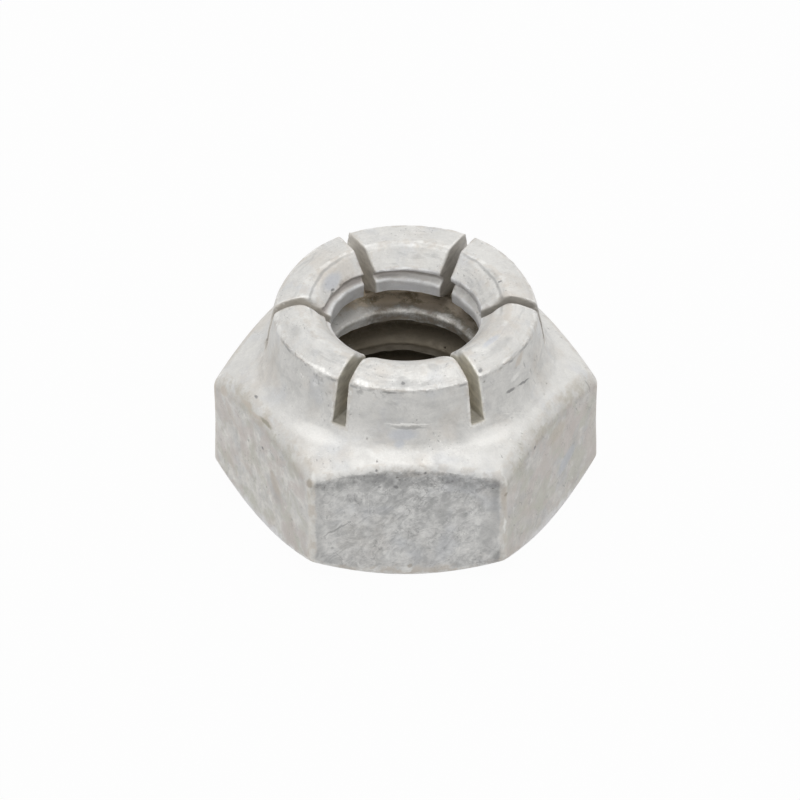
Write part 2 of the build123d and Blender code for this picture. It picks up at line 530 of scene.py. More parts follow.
# Where the surfaces end, as radii and as heights
SLOT_RADIUS, CONE_RADIUS, CROWN_RADIUS, BORE_RADIUS, WALL_RADIUS = 2.4, 2.55, 3.1, 3.3, 3.4
BORE_TOP, CROWN_FOOT, WALL_FOOT, WALL_TOP = 6.75, (6.7, 6.85), (4.7, 5.1), (6.75, 6.85)
GROOVE_RADII = (2.6, 3.2)
FRONT_INDEX, RIGHT_INDEX = -2, -1  # of the flats, counted round the axis


def mark_zones(mesh):
    """Writes on each point how much it belongs to each surface, and how much to an edge."""
    points = np.empty(len(mesh.vertices) * 3, np.float32)
    mesh.vertices.foreach_get("co", points)
    x, y, z = points.reshape(-1, 3).T / np.float32(MM)
    radius, angle = np.hypot(x, y), np.arctan2(y, x)
    index, along, across = slot_place(angle, radius)
    flat_index = np.round((angle - SECTOR / 2) / SECTOR)
    off_middle = angle - SECTOR / 2 - SECTOR * flat_index
    near = {
        "flat": share_near(hexagon(x, y, CORNER_ROUND) + FLAT_INSET),
        "slot": share_near(slots(along, across, z, index), 0.02) * (radius > SLOT_RADIUS),
        "cone": share_near(top_cone(radius, z)) * (radius > CONE_RADIUS),
        "bore": 1.0 * (radius < BORE_RADIUS) * (z < BORE_TOP),
        "crown": smooth(z, *CROWN_FOOT) * (radius > CROWN_RADIUS),
        "wall": smooth(z, *WALL_FOOT) * (1 - smooth(z, *WALL_TOP)) * (radius > WALL_RADIUS),
    }
    near["bore"] = near["bore"] * (1 - near["cone"]) * (1 - near["slot"])
    near["crown"] = near["crown"] * (1 - near["cone"]) * (1 - near["slot"])
    near["wall"] = near["wall"] * (1 - near["slot"])
    near["front"] = near["flat"] * (flat_index == FRONT_INDEX)
    near["right"] = near["flat"] * (flat_index == RIGHT_INDEX)
    near["drop"] = shoulder_height(radius) - z
    near["inward"] = -hexagon(x, y, CORNER_ROUND)
    near["groove"] = smooth(radius + lean(z), *GROOVE_RADII)
    near["slot_floor"] = near["slot"] * smooth(z - slot_bottom(along, index), 0.3, 0.05)
    near["corner"] = ACROSS_FLATS / 2 * math.tan(SECTOR / 2) - radius * np.abs(np.sin(off_middle))
    bend = bend_of(nut, x, y, z, BEND_STEP)
    near["edge"] = np.clip(bend / SHARPEST_BEND, 0, 1)
    near["hollow"] = np.clip(-bend / SHARPEST_BEND, 0, 1)
    for name, values in near.items():
        attribute = mesh.attributes.new(name, "FLOAT", "POINT")
        attribute.data.foreach_set("value", values.astype(np.float32))


class Shading:
    """Adds nodes to one material by short calls. An input is a number, a colour or a socket."""

    def __init__(self, name):
        self.material = bpy.data.materials.new(name)
        self.material.use_nodes = True
        self.tree = self.material.node_tree
        self.shader = self.tree.nodes["Principled BSDF"]
        self.reliefs = []

    def add(self, kind, inputs, output=0, **settings):
        """Adds a node with its inputs and settings, and gives one of its outputs."""
        node = self.tree.nodes.new("ShaderNode" + kind)
        for key, value in settings.items():
            setattr(node, key, value)
        for key, value in inputs.items():
            self.plug(node.inputs[key], value)
        return node.outputs[output]

    def plug(self, socket, value):
        if isinstance(value, bpy.types.NodeSocket):
            self.tree.links.new(value, socket)
        elif isinstance(value, tuple) and socket.type == "RGBA":
            socket.default_value = (*value, 1)
        else:
            socket.default_value = value

    def zone(self, name):
        return self.add("Attribute", {}, 2, attribute_name=name)

    def axis(self, place, number):
        """One coordinate of a place: 0, 1 or 2."""
        return self.add("SeparateXYZ", {0: place}, number)

    def math(self, operation, a, b=0.0):
        return self.add("Math", {0: a, 1: b}, operation=operation)

    def times(self, first, *others):
        for value in others:
            first = self.math("MULTIPLY", first, value)
        return first

    def plus(self, first, *others):
        for value in others:
            first = self.math("ADD", first, value)
        return first

    def ramp(self, value, low, high, start=0.0, end=1.0):
        """From start to end while the value goes from low to high, without a kink."""
        inputs = {"Value": value, "From Min": low, "From Max": high, "To Min": start, "To Max": end}
        return self.add("MapRange", inputs, interpolation_type="SMOOTHSTEP")

    def noise(self, place, feature, detail=2.0, roughness=0.5, distortion=0.0, shift=0.0):
        """Noise around 0.5. Each shift gives another pattern."""
        if shift:
            place = self.stretched(place, (1, 1, 1), shift)
        inputs = {"Vector": place, "Scale": 1 / feature, "Detail": detail}
        inputs.update({"Roughness": roughness, "Distortion": distortion})
        return self.add("TexNoise", inputs)

    def stretched(self, place, shares, shift=0.0):
        """The place with its axes scaled: a small share draws a pattern out along that axis."""
        inputs = {0: place, 1: shares, 2: (shift, shift, shift)}
        return self.add("VectorMath", inputs, operation="MULTIPLY_ADD")

    def turned(self, place, angles, lengths):
        """The place in turned axes: a large length draws a pattern out along that axis."""
        inputs = {"Vector": place, "Rotation": angles, "Scale": lengths}
        return self.add("Mapping", inputs, vector_type="TEXTURE")

    def mix(self, share, a, b):
        return self.add("Mix", {0: share, 6: a, 7: b}, 2, data_type="RGBA")

    def tint(self, colour, other, *shares):
        """The colour with another laid over it, by the product of the shares."""
        return self.mix(self.times(*shares), colour, other)

    def shade(self, colour, factor):
        """The colour times a factor."""
        return self.add("VectorMath", {0: colour, "Scale": factor}, operation="SCALE")

    def raise_by(self, amount):
        """Adds to the relief, in millimetres."""
        self.reliefs.append(amount)


ZONES = ("flat", "front", "right", "slot", "slot_floor", "cone", "bore", "crown", "wall", "edge",
         "hollow", "drop", "inward", "corner", "groove")
LIGHT_METAL = (0.715, 0.705, 0.68)
FLAT_METAL = (0.79, 0.77, 0.73)
FRONT_METAL = (0.77, 0.765, 0.75)
RIGHT_METAL = (0.66, 0.635, 0.6)
CORNER_METAL = (0.8, 0.78, 0.73)
LAND_METAL = (0.8, 0.81, 0.84)
PALE_METAL = (0.9, 0.89, 0.86)
GREY_METAL = (0.4, 0.4, 0.395)
DARK_GREY = (0.2, 0.2, 0.2)
BLUE_METAL = (0.52, 0.54, 0.58)
WARM_METAL = (0.56, 0.5, 0.43)
OLIVE_METAL = (0.55, 0.545, 0.48)
ROSE_METAL = (0.6, 0.55, 0.52)
ROSE_GREY = (0.36, 0.31, 0.29)
SLOT_METAL = (0.64, 0.61, 0.53)
BACK_SLOT_METAL = (0.63, 0.6, 0.55)
OLIVE_BROWN = (0.42, 0.38, 0.29)
OLIVE_STAIN = (0.24, 0.23, 0.16)
BROWN_STAIN = (0.3, 0.25, 0.19)
DEEP_BROWN = (0.13, 0.105, 0.066)
DIRT = (0.3, 0.27, 0.22)
# soot for the specks, and painted shade on the slot floors
SOOT_AND_SHADE = (0.13, 0.12, 0.1)

METALLIC = 0.35
ROUGHNESS = (0.42, 0.6)
BUMP_STRENGTH = 0.7
CROWN_LINE_RADIUS = 3.17
LIP_LINE_HEIGHT = 6.76

# What a mark does to the metal: its colour, how much of it, and how far it stands out
MARK_KINDS = {
    "grey": (GREY_METAL, 0.45, 0.0),
    "blue": (BLUE_METAL, 0.7, 0.0),
    "brown": (WARM_METAL, 0.6, 0.0),
    "olive": (OLIVE_STAIN, 0.6, -0.006),
    "rust": (BROWN_STAIN, 0.55, -0.004),
    # glow: a painted highlight
    "glow": (PALE_METAL, 0.5, 0.0),
    "pale": (PALE_METAL, 0.85, 0.012),
    "line": (DARK_GREY, 0.45, -0.010),
    "dark": (DARK_GREY, 0.75, -0.02),
}
# How far the marks' edges wander, how deep a mark reaches, and where the surfaces that it may
# lie on are steep
MARK_WANDER = 0.14
MARK_DEPTH = 0.3
FLATS_TOP = CORNER_HEIGHT + 0.46
WALL_LOW, WALL_HIGH = 5.1, 6.6
# The marks that the photograph shows: kind, the two ends, and half the width
MARKS = (
    # Crown
    ("dark", (-0.17, -4.1, 7.0), (-0.07, -4.1, 7.0), 0.07),
    ("grey", (-0.45, -4.1, 7.0), (0.1, -4.0, 7.05), 0.2),
    ("grey", (2.6, -2.9, 7.18), (3.6, -1.6, 7.18), 0.22),
    ("dark", (2.35, -3.42, 7.05), (2.5, -3.42, 7.0), 0.09),
    ("blue", (2.45, -2.55, 7.2), (3.1, -1.7, 7.2), 0.14),
    ("grey", (-3.85, -1.0, 7.2), (-3.5, -1.8, 7.2), 0.3),
    ("blue", (-2.75, 0.9, 6.95), (-2.0, 1.95, 6.95), 0.35),
    ("dark", (3.13, 1.07, 7.2), (3.13, 1.07, 7.2), 0.08),
    ("dark", (-2.45, 1.12, 6.83), (-2.33, 1.3, 6.79), 0.05),
    ("grey", (0.6, -3.4, 7.18), (1.1, -3.6, 7.16), 0.2),
    ("pale", (-1.8, -3.85, 6.9), (-1.1, -4.18, 6.88), 0.15),
    ("pale", (-3.3, -2.8, 6.9), (-2.45, -3.58, 6.88), 0.13),
    ("pale", (2.15, -3.7, 6.93), (2.5, -3.45, 6.93), 0.1),
    # Lip of the crown: painted shade just under it
    ("line", (-1.75, -4.02, 6.76), (-1.35, -4.2, 6.74), 0.04),
    ("line", (-1.2, -4.26, 6.75), (-0.6, -4.36, 6.74), 0.03),
    ("line", (-3.2, -3.05, 6.76), (-2.5, -3.68, 6.74), 0.04),
    # Collar
    ("pale", (-0.85, -4.52, 5.64), (0.95, -4.5, 5.6), 0.05),
    ("line", (-0.65, -4.55, 5.53), (0.75, -4.52, 5.48), 0.07),
    ("blue", (-0.75, -4.62, 5.22), (0.45, -4.62, 5.3), 0.3),
    ("dark", (3.22, -3.2, 5.8), (3.62, -2.8, 5.78), 0.065),
    ("dark", (3.6, -2.82, 5.78), (4.1, -2.12, 5.6), 0.045),
    # a painted highlight on the collar
    ("glow", (3.35, -2.95, 6.1), (3.75, -2.45, 6.15), 0.12),
    ("brown", (3.95, -2.05, 6.75), (3.6, -2.75, 6.4), 0.16),
    # Shoulder
    ("blue", (-0.5, -4.75, 4.95), (0.0, -4.75, 4.95), 0.2),
    ("brown", (-4.9, -2.6, 4.5), (-4.4, -3.3, 4.45), 0.16),
    ("brown", (-5.45, -1.5, 4.3), (-5.05, -2.2, 4.45), 0.12),
    ("dark", (-5.0, -1.75, 4.68), (-4.9, -1.95, 4.68), 0.07),
    ("brown", (-5.35, -1.85, 4.25), (-4.6, -2.95, 4.42), 0.08),
    ("olive", (-4.95, -2.5, 4.42), (-4.45, -3.37, 4.42), 0.08),
    ("dark", (-1.06, -5.53, 4.44), (-0.98, -5.53, 4.44), 0.06),
    ("dark", (0.52, -5.55, 4.36), (0.62, -5.55, 4.36), 0.06),
    # painted highlights on the shoulder, beside the front slots
    ("glow", (-4.1, -3.35, 4.85), (-1.9, -4.7, 4.85), 0.42),
    ("glow", (1.9, -4.65, 4.85), (3.7, -3.6, 4.85), 0.42),
    # Front flat
    ("dark", (-0.38, -5.55, 3.79), (-0.38, -5.55, 3.79), 0.09),
    ("line", (-2.95, -5.55, 1.6), (-1.7, -5.55, 2.48), 0.04),
    ("grey", (1.25, -5.55, 3.6), (0.95, -5.55, 2.1), 0.28),
    ("grey", (2.7, -5.55, 2.6), (2.5, -5.55, 1.0), 0.35),
    ("grey", (-1.6, -5.55, 4.05), (-1.1, -5.55, 3.6), 0.3),
    ("rust", (0.02, -5.55, 0.47), (0.14, -5.55, 0.47), 0.11),
    # Left flat and its corner
    ("dark", (-4.77, -2.85, 3.33), (-4.77, -2.85, 3.33), 0.07),
    ("grey", (-4.6, -3.1, 2.6), (-4.2, -3.85, 1.6), 0.45),
    ("brown", (-4.55, -3.25, 2.9), (-4.2, -3.85, 1.9), 0.32),
    ("brown", (-6.15, -0.35, 3.9), (-5.9, -0.9, 4.05), 0.22),
    ("rust", (-3.3, -5.45, 4.02), (-3.2, -5.49, 3.72), 0.18),
    # Right flat and its corner
    ("dark", (4.2, -3.83, 4.01), (4.2, -3.83, 4.01), 0.08),
    ("rust", (3.22, -5.48, 3.5), (3.22, -5.48, 3.3), 0.07),
    ("brown", (4.6, -3.25, 3.6), (5.4, -1.75, 3.6), 0.4),
    ("blue", (4.9, -2.6, 1.7), (5.7, -1.2, 2.3), 0.35),
    ("brown", (3.16, -5.54, 3.9), (3.16, -5.54, 2.7), 0.13),
    ("pale", (3.18, -5.51, 2.5), (3.18, -5.51, 1.7), 0.05),
)


def plating(mat, place, zones):
    """Cloudy light and dark patches, strong on the flats and faint on the smooth surfaces."""
    clouds = mat.noise(place, 0.9, 5.0, 0.62, 0.5)
    strokes = mat.turned(place, (0.0, -0.7, 0.3), (2.0, 1.0, 1.0))
    strokes = mat.noise(strokes, 0.36, 5.0, 0.66, 1.8)
    blots = mat.noise(place, 0.55, 5.0, 0.62, 0.8, shift=26.0)
    strokes = mat.add("Mix", {0: zones.front, 2: blots, 3: strokes})
    fine = mat.noise(place, 0.2, 3.0, 0.6, shift=3.1)
    patches = mat.plus(mat.times(clouds, 0.4), mat.times(strokes, 0.45), mat.times(fine, 0.15))
    patches = mat.ramp(patches, 0.38, 0.62)
    strength = mat.plus(0.2, mat.times(zones.flat, 0.36), mat.times(zones.front, 0.4))
    strength = mat.plus(strength, mat.times(zones.wall, 0.16))
    colour = mat.mix(zones.flat, LIGHT_METAL, FLAT_METAL)
    colour = mat.tint(colour, FRONT_METAL, zones.front)
    colour = mat.tint(colour, RIGHT_METAL, zones.right)
    colour = mat.tint(colour, GREY_METAL, patches, strength)
    pale = mat.ramp(mat.noise(place, 0.5, 4.0, 0.7, shift=9.7), 0.5, 0.66)
    pale = mat.times(pale, mat.plus(0.12, mat.times(zones.flat, 0.2)))
    colour = mat.tint(colour, PALE_METAL, pale)
    blue = mat.ramp(mat.noise(place, 1.1, 3.0, shift=5.0), 0.52, 0.7)
    colour = mat.tint(colour, BLUE_METAL, blue, 0.3)
    sides = mat.math("MAXIMUM", mat.plus(zones.flat, mat.times(zones.front, -1.0)), 0.0)
    for k, tint in enumerate((OLIVE_METAL, ROSE_METAL, OLIVE_METAL, ROSE_METAL)):
        tinted = mat.noise(place, 1.0, 3.0, 0.55, 0.4, shift=110.0 + 13 * k)
        colour = mat.tint(colour, tint, mat.ramp(tinted, 0.5, 0.62), sides, 0.7)
    warm = mat.ramp(mat.noise(place, 1.7, 4.0, 0.6, shift=21.0), 0.5, 0.7)
    warm = mat.times(warm, mat.plus(0.34, mat.times(zones.front, -0.2)))
    return mat.tint(colour, WARM_METAL, warm)


def pitting(mat, place, zones, colour):
    """Small dark pits, mostly on the crown, which is rough as well."""
    grain = mat.noise(place, 0.11, 3.0, 0.65, shift=90.0)
    rough = mat.plus(0.15, zones.crown)
    mat.raise_by(mat.times(grain, rough, 0.022))
    patchy = mat.ramp(mat.noise(place, 0.9, shift=77.0), 0.42, 0.6)
    pits = mat.times(mat.ramp(grain, 0.36, 0.28), patchy, rough)
    return mat.tint(colour, DARK_GREY, pits, 0.5)


def veins(mat, place, zones, colour):
    """Thin dark creases that wander over the flats, and hardly elsewhere."""
    for k, feature in enumerate((1.3, 0.8)):
        course = mat.noise(place, feature, 4.0, 0.6, 0.6, shift=40.0 + 9 * k)
        away = mat.math("ABSOLUTE", mat.plus(course, -0.5))
        gaps = mat.ramp(mat.noise(place, 0.9, shift=60.0 + k), 0.48, 0.6)
        line = mat.times(mat.ramp(away, 0.012, 0.0), gaps)
        share = mat.plus(0.1, mat.times(zones.flat, 0.16), mat.times(zones.front, 0.14))
        line = mat.times(line, share)
        mat.raise_by(mat.times(line, -0.02))
        colour = mat.tint(colour, DARK_GREY, line)
    return colour


def turning_marks(mat, polar, zones, colour):
    """Faint rings that the lathe left on the cones and the collar, and smears along them."""
    rings = mat.noise(mat.stretched(polar, (0.06, 1.0, 1.0)), 0.12, 3.0, 0.6)
    smears = mat.noise(mat.stretched(polar, (0.25, 1.0, 0.9), 4.0), 0.5, 5.0, 0.66, 0.4)
    smears = mat.ramp(smears, 0.52, 0.68)
    height = mat.axis(polar, 2)
    turned = mat.plus(zones.cone, zones.crown, mat.times(zones.wall, 0.55))
    turned = mat.plus(turned, mat.ramp(height, 0.06, 0.02))
    colour = mat.tint(colour, GREY_METAL, smears, turned, 0.5)
    mat.raise_by(mat.times(rings, turned, 0.010))
    return mat.shade(colour, mat.ramp(mat.times(rings, turned), 0.1, 0.9, 1.0, 0.92))


def scuffs(mat, place, colour):
    """Short scratches in several directions, and small pits."""
    patchy = mat.ramp(mat.noise(place, 1.1, 2.0), 0.48, 0.66)
    for k, angle in enumerate((0.4, 1.3, 2.2, 2.9)):
        lines = mat.turned(place, (angle, 0.7 * angle, 1.1 * angle), (14.0, 1.0, 1.0))
        lines = mat.noise(lines, 0.08 + 0.01 * k, 1.0, 0.4)
        lines = mat.times(mat.ramp(lines, 0.69, 0.77), patchy)
        mat.raise_by(mat.times(lines, -0.008))
        colour = mat.tint(colour, DARK_GREY if k % 2 else PALE_METAL, lines, 0.4)
    pits = mat.add("TexVoronoi", {"Vector": place, "Scale": 1 / 0.8, "Randomness": 1.0})
    pits = mat.times(mat.ramp(pits, 0.04, 0.09, 1.0, 0.0), patchy)
    mat.raise_by(mat.times(pits, -0.02))
    return mat.tint(colour, DARK_GREY, pits, 0.4)


def edge_wear_and_hollow_highlight(mat, place, zones, colour):
    """Pale rubbed edges with darker and brownish stretches, and a painted highlight in the hollows.
    """
    broken = mat.noise(place, 0.45, 4.0, 0.65)
    sharp = mat.ramp(zones.edge, 0.2, 0.8)
    rubbed = mat.times(sharp, mat.ramp(broken, 0.42, 0.6))
    rubbed = mat.times(rubbed, mat.ramp(zones.cone, 0.1, 0.6, 1.0, 0.2))
    colour = mat.tint(colour, PALE_METAL, rubbed, 0.6)
    tinted = mat.times(mat.ramp(zones.edge, 0.05, 0.3), mat.ramp(broken, 0.55, 0.42))
    colour = mat.tint(colour, WARM_METAL, tinted, 0.3)
    # painted highlight: the hollows and fillets made paler
    return mat.tint(colour, PALE_METAL, zones.hollow, 0.3)


def rims(mat, place, zones, colour):
    """The rims of the flats: a painted highlight along the top, and a band of painted shade under
    it, broken up, with dark specks.
    """
    rough = mat.noise(mat.stretched(place, (0.7, 0.7, 1.0)), 0.24, 5.0, 0.78)
    drop = mat.plus(zones.drop, mat.times(rough, 0.34))
    # painted highlight along the rim
    line = mat.times(mat.ramp(drop, 0.1, 0.16), mat.ramp(drop, 0.29, 0.22), 0.75)
    line = mat.times(line, mat.ramp(zones.front, 0.1, 0.6, 0.3, 1.0))
    # painted shade under the rim, strongest on the front flat
    band = mat.times(mat.ramp(drop, 0.24, 0.32), mat.ramp(drop, 1.05, 0.58))
    worn = mat.ramp(mat.noise(place, 0.3, 4.0, 0.7, shift=15.0), 0.36, 0.62)
    band = mat.times(band, mat.plus(0.35, mat.times(worn, 0.75)))
    share = mat.plus(mat.times(zones.front, 0.52), mat.times(zones.flat, 0.1))
    colour = mat.tint(colour, PALE_METAL, line, zones.flat)
    colour = mat.tint(colour, DARK_GREY, band, share)
    brown = mat.noise(place, 0.6, 4.0, 0.65, shift=17.0)
    brown = mat.times(mat.ramp(brown, 0.48, 0.62), mat.ramp(drop, 0.8, 0.3), 0.4)
    y = mat.axis(place, 1)
    inward = mat.plus(zones.inward, mat.times(rough, 0.4))
    brown = mat.times(brown, mat.ramp(inward, 0.7, 0.25), mat.ramp(y, -5.4, -4.9))
    colour = mat.tint(colour, OLIVE_BROWN, brown)
    specks = mat.noise(mat.stretched(place, (0.6, 0.6, 1.0), 2.0), 0.11, 2.0, 0.6)
    specks = mat.times(mat.ramp(specks, 0.6, 0.68), band, zones.front)
    mat.raise_by(mat.times(specks, -0.02))
    colour = mat.tint(colour, SOOT_AND_SHADE, specks, 0.55)
    low = mat.axis(place, 2)
    low = mat.plus(low, mat.times(mat.noise(place, 0.4, 4.0, 0.7), 0.7))
    low = mat.times(mat.ramp(low, 0.95, 0.6), mat.ramp(zones.flat, 0.05, 0.4))
    spots = mat.ramp(mat.noise(place, 0.3, 3.0), 0.45, 0.6)
    colour = mat.tint(colour, PALE_METAL, low, 0.35)
    colour = mat.tint(colour, WARM_METAL, low, spots, 0.6)
    sides = mat.ramp(zones.front, 0.5, 0.1)
    return mat.tint(colour, LAND_METAL, low, sides, 0.55)


def corners(mat, place, zones, colour):
    """The upright corners: rubbed pale and warm, with brown spots and a dark line beside them."""
    jitter = mat.noise(mat.stretched(place, (1, 1, 0.6), 33.0), 0.28, 4.0, 0.7)
    reach = mat.plus(zones.corner, mat.times(jitter, 0.22))
    upright = mat.ramp(zones.flat, 0.08, 0.3)
    strip = mat.times(mat.ramp(reach, 0.37, 0.22), upright)
    x = mat.axis(place, 0)
    strip = mat.times(strip, mat.ramp(x, 2.0, 3.0, 1.0, 0.55))
    spots = mat.ramp(mat.noise(mat.stretched(place, (1, 1, 0.7), 8.0), 0.35, 3.0), 0.45, 0.62)
    colour = mat.tint(colour, CORNER_METAL, strip, 0.55)
    colour = mat.tint(colour, WARM_METAL, strip, spots, 0.55)
    beside = mat.times(mat.ramp(reach, 0.26, 0.36), mat.ramp(reach, 0.66, 0.42))
    broken = mat.ramp(mat.noise(mat.stretched(place, (1, 1, 0.5), 13.0), 0.5, 3.0), 0.35, 0.5)
    return mat.tint(colour, DARK_GREY, beside, broken, zones.front, 0.42)


def lip_line(mat, place, zones, colour):
    """Painted shade: a dark broken line on the collar, just under the lip of the crown, in front.
    """
    y, z = (mat.axis(place, k) for k in (1, 2))
    jitter = mat.noise(place, 0.25, 4.0, 0.7, shift=50.0)
    away = mat.plus(z, mat.times(jitter, 0.14), -0.07 - LIP_LINE_HEIGHT)
    line = mat.ramp(mat.math("ABSOLUTE", away), 0.07, 0.01)
    broken = mat.ramp(mat.noise(place, 0.5, 3.0, shift=70.0), 0.38, 0.56)
    line = mat.times(line, broken, mat.ramp(y, -1.0, -2.0), mat.ramp(zones.slot, 0.3, 0.0))
    return mat.tint(colour, DARK_GREY, line, 0.55)


def slot_walls(mat, place, zones, colour):
    """Sawn walls: olive grey with faint lines, lighter on one side by painted light, over a floor
    darkened by painted shade.
    """
    tone = mat.noise(mat.stretched(place, (0.4, 0.4, 1.0)), 0.2, 3.0)
    tone = mat.ramp(tone, 0.3, 0.7, 0.82, 1.12)
    x, y = (mat.axis(place, k) for k in (0, 1))
    behind = mat.ramp(y, -1.5, -0.5)
    # painted light: the front slot on the right lighter and the one on the left darker, the other
    # way round at the back
    painted_side_light = mat.ramp(x, -1.0, 1.0, -0.08, 0.16)
    tone = mat.plus(tone, mat.times(painted_side_light, mat.ramp(behind, 0.0, 1.0, 1.0, -1.0)))
    walls = mat.shade(mat.mix(behind, SLOT_METAL, BACK_SLOT_METAL), tone)
    colour = mat.tint(colour, walls, zones.slot, 0.95)
    # painted shade on the slot floors
    return mat.tint(colour, SOOT_AND_SHADE, zones.slot_floor, 0.3)


def bore_stains_and_painted_light(mat, place, polar, zones, colour):
    """Dirt and painted shade in the groove, painted light on the lands, and a brown stain that
    fills the lower turns, less on the left.
    """
    x, height = (mat.axis(place, k) for k in (0, 2))
    radius = mat.axis(polar, 1)
    streaks = mat.noise(mat.stretched(polar, (0.35, 1.0, 1.0)), 0.4, 5.0, 0.68)
    fine = mat.noise(mat.stretched(polar, (1.6, 1.0, 0.5)), 0.12, 3.0, 0.7)
    level = mat.plus(mat.times(zones.groove, 0.75), mat.times(height, -0.55))
    level = mat.plus(level, mat.times(streaks, 1.5), mat.times(fine, 0.3), -0.1)
    level = mat.plus(level, mat.ramp(x, -2.3, -0.8, -0.6, 0.0))
    stained = mat.ramp(level, -2.15, -1.55)
    brown = mat.mix(mat.ramp(streaks, 0.42, 0.56), DEEP_BROWN, BROWN_STAIN)
    brown = mat.mix(mat.ramp(fine, 0.55, 0.7), brown, DIRT)
    # painted light: the brown made lighter deep in the groove, where the crest above shades it, and
    # darker on the lands; less of it on the right
    deep = mat.times(mat.ramp(zones.groove, 0.0, 0.8), mat.ramp(x, 1.5, 0.0, 0.35, 1.0))
    brown = mat.shade(brown, mat.ramp(deep, 0.0, 1.0, 0.72, 1.75))
    # darker towards the bottom of the hole
    brown = mat.mix(mat.ramp(height, 3.6, 4.5, 0.9, 0.0), brown, DEEP_BROWN)
    low_slot = mat.times(zones.slot, mat.ramp(height, 5.5, 5.2), mat.ramp(radius, 3.7, 3.4))
    inside = mat.math("MINIMUM", mat.plus(zones.bore, low_slot), 1.0)
    # dirt and painted shade: the groove darker grey
    grey = mat.times(zones.groove, zones.bore, 0.45)
    colour = mat.tint(colour, GREY_METAL, grey)
    # painted light: the lands above the stain made lighter
    painted_light_land = mat.times(mat.ramp(zones.groove, 0.05, 0.0), zones.bore, 0.45)
    painted_light_land = mat.times(painted_light_land, mat.ramp(height, 5.1, 5.4))
    colour = mat.tint(colour, LAND_METAL, painted_light_land)
    # painted shade in the top turn of the groove, rose grey
    painted_shade_top_turn = mat.times(mat.ramp(zones.groove, 0.02, 0.15), mat.ramp(height, 6.15, 6.35))
    colour = mat.tint(colour, ROSE_GREY, painted_shade_top_turn, zones.bore, 0.6)
    stained = mat.times(stained, inside, mat.ramp(height, 0.1, 1.2, 0.25, 0.95))
    return mat.tint(colour, brown, stained)


def crown_line(mat, place, polar, colour):
    """A thin soft line where the cone meets the crown, on the segments at the back and sides."""
    y = mat.axis(place, 1)
    radius, height = (mat.axis(polar, k) for k in (1, 2))
    radius = mat.plus(radius, mat.times(mat.noise(place, 0.7, 3.0, 0.6), 0.16), -0.08)
    away = mat.math("ABSOLUTE", mat.plus(radius, -CROWN_LINE_RADIUS))
    line = mat.times(mat.ramp(away, 0.07, 0.01), mat.ramp(height, 7.0, 7.1))
    line = mat.times(line, mat.ramp(y, -1.0, 0.0), mat.ramp(y, 2.8, 2.2, 0.3, 1.0))
    return mat.tint(colour, DARK_GREY, line, 0.42)


def marks(mat, place, colour):
    """The single marks of the photographed nut, with wandering edges."""
    drift = mat.add("TexNoise", {"Vector": place, "Scale": 1 / 0.22, "Detail": 3.0}, 1)
    inputs = {0: drift, 1: (MARK_WANDER,) * 3, 2: place}
    wander = mat.add("VectorMath", inputs, operation="MULTIPLY_ADD")
    shares = dict.fromkeys(MARK_KINDS, 0.0)
    for kind, start, end, half_width in MARKS:
        start, end = Vector(start), Vector(end)
        middle, reach = (start + end) / 2, end - start
        upright = middle.z < FLATS_TOP or WALL_LOW < middle.z < WALL_HIGH
        across = (MARK_DEPTH, half_width) if upright else (half_width, MARK_DEPTH)
        direction = reach if reach.length > 0 else Vector((-middle.y, middle.x, 0))
        turn = direction.to_track_quat("X", "Z").to_euler()
        middle = middle + Vector((MARK_WANDER / 2,) * 3)  # the wandering's own mean
        inputs = {"Vector": wander, "Location": tuple(middle), "Rotation": tuple(turn)}
        inputs["Scale"] = (max(reach.length / 2, half_width), *across)
        local = mat.add("Mapping", inputs, vector_type="TEXTURE")
        away = mat.add("VectorMath", {0: local}, 1, operation="LENGTH")
        share = mat.ramp(away, 1.05, 0.45)
        shares[kind] = mat.math("MAXIMUM", shares[kind], share)
    for kind, (tint, strength, relief) in MARK_KINDS.items():
        colour = mat.tint(colour, tint, shares[kind], strength)
        if relief:
            mat.raise_by(mat.times(shares[kind], relief))
    return colour


